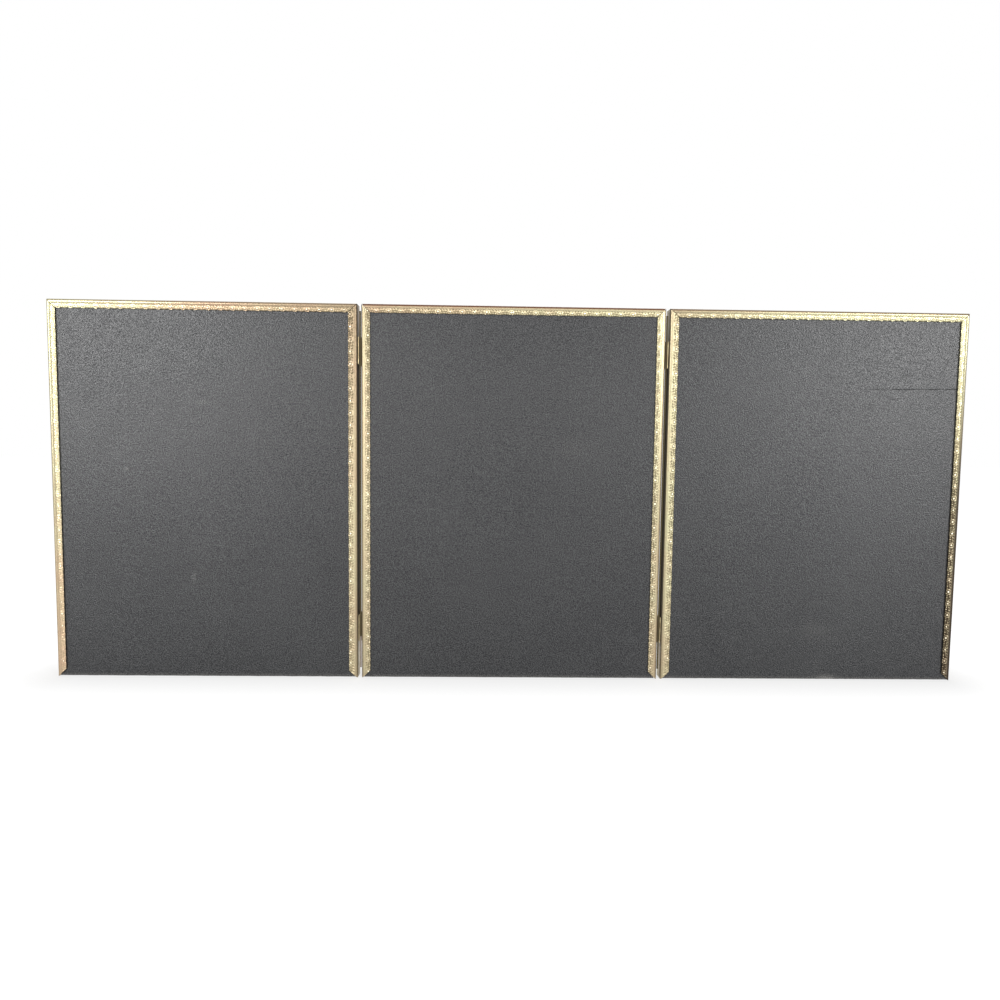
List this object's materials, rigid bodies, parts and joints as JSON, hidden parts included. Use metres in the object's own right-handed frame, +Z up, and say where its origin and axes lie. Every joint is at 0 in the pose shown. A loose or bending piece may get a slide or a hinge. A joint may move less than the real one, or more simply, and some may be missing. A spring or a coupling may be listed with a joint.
{
  "type": "folding triptych photo frame",
  "caption": "Free-standing picture frame of hinged embossed brass panels that fold like a book, with glass, blank picture sheets and black backing boards that slide out below.",
  "frame": {"origin": "middle of the frame on the surface it stands on, midway between the hinge knuckles' front and the back lips", "axes": "+Z up, front (glass side) towards -Y, +X to the right of somebody who faces the front"},
  "size_m": [0.6256, 0.0134, 0.2568],
  "materials": {
    "brass_strip": "rolled and embossed strip, aged lacquer, soft sheen",
    "hinge_brass": "dull, unpolished",
    "pin_steel": "plated, dulled",
    "glass": "clear picture glass",
    "plain_paper": "matt, unprinted",
    "grey_card": "matt greyboard",
    "black_card": "black card with a fine pebbled grain, slightly worn"
  },
  "bodies": {
    "centre": {"centre_top_rail": "brass_strip", "centre_bottom_rail": "brass_strip", "centre_left_rail": "brass_strip", "centre_right_rail": "brass_strip", "centre_glass": "glass", "centre_picture_sheet": "plain_paper", "centre_filler_card": "grey_card", "upper_left_hinge_centre_leaf": "hinge_brass", "upper_left_hinge_pin": "pin_steel", "upper_left_hinge_centre_rivet_1": "pin_steel", "upper_left_hinge_centre_rivet_2": "pin_steel", "upper_right_hinge_centre_leaf": "hinge_brass", "upper_right_hinge_pin": "pin_steel", "upper_right_hinge_centre_rivet_1": "pin_steel", "upper_right_hinge_centre_rivet_2": "pin_steel", "lower_left_hinge_centre_leaf": "hinge_brass", "lower_left_hinge_pin": "pin_steel", "lower_left_hinge_centre_rivet_1": "pin_steel", "lower_left_hinge_centre_rivet_2": "pin_steel", "lower_right_hinge_centre_leaf": "hinge_brass", "lower_right_hinge_pin": "pin_steel", "lower_right_hinge_centre_rivet_1": "pin_steel", "lower_right_hinge_centre_rivet_2": "pin_steel"},
    "left_wing": {"left_wing_top_rail": "brass_strip", "left_wing_bottom_rail": "brass_strip", "left_wing_left_rail": "brass_strip", "left_wing_right_rail": "brass_strip", "left_wing_glass": "glass", "left_wing_picture_sheet": "plain_paper", "left_wing_filler_card": "grey_card", "upper_left_hinge_wing_leaf": "hinge_brass", "upper_left_hinge_wing_rivet_1": "pin_steel", "upper_left_hinge_wing_rivet_2": "pin_steel", "lower_left_hinge_wing_leaf": "hinge_brass", "lower_left_hinge_wing_rivet_1": "pin_steel", "lower_left_hinge_wing_rivet_2": "pin_steel"},
    "right_wing": {"right_wing_top_rail": "brass_strip", "right_wing_bottom_rail": "brass_strip", "right_wing_left_rail": "brass_strip", "right_wing_right_rail": "brass_strip", "right_wing_glass": "glass", "right_wing_picture_sheet": "plain_paper", "right_wing_filler_card": "grey_card", "upper_right_hinge_wing_leaf": "hinge_brass", "upper_right_hinge_wing_rivet_1": "pin_steel", "upper_right_hinge_wing_rivet_2": "pin_steel", "lower_right_hinge_wing_leaf": "hinge_brass", "lower_right_hinge_wing_rivet_1": "pin_steel", "lower_right_hinge_wing_rivet_2": "pin_steel"},
    "centre_board": {"centre_backing_board": "black_card"},
    "left_wing_board": {"left_wing_backing_board": "black_card"},
    "right_wing_board": {"right_wing_backing_board": "black_card"}
  },
  "joints": [
    {"name": "right_wing_fold", "type": "hinge", "parent": "centre", "child": "right_wing", "pos_m": [0.10465, -0.0057, 0], "axis": [0, 0, -1], "range_deg": [-3, 180]},
    {"name": "left_wing_fold", "type": "hinge", "parent": "centre", "child": "left_wing", "pos_m": [-0.10465, -0.0057, 0], "axis": [0, 0, 1], "range_deg": [-3, 90]},
    {"name": "centre_board_slide", "type": "slide", "parent": "centre", "child": "centre_board", "axis": [0, 0, -1], "range_m": [0, 0.25]},
    {"name": "left_wing_board_slide", "type": "slide", "parent": "left_wing", "child": "left_wing_board", "axis": [0, 0, -1], "range_m": [0, 0.25]},
    {"name": "right_wing_board_slide", "type": "slide", "parent": "right_wing", "child": "right_wing_board", "axis": [0, 0, -1], "range_m": [0, 0.25]}
  ]
}
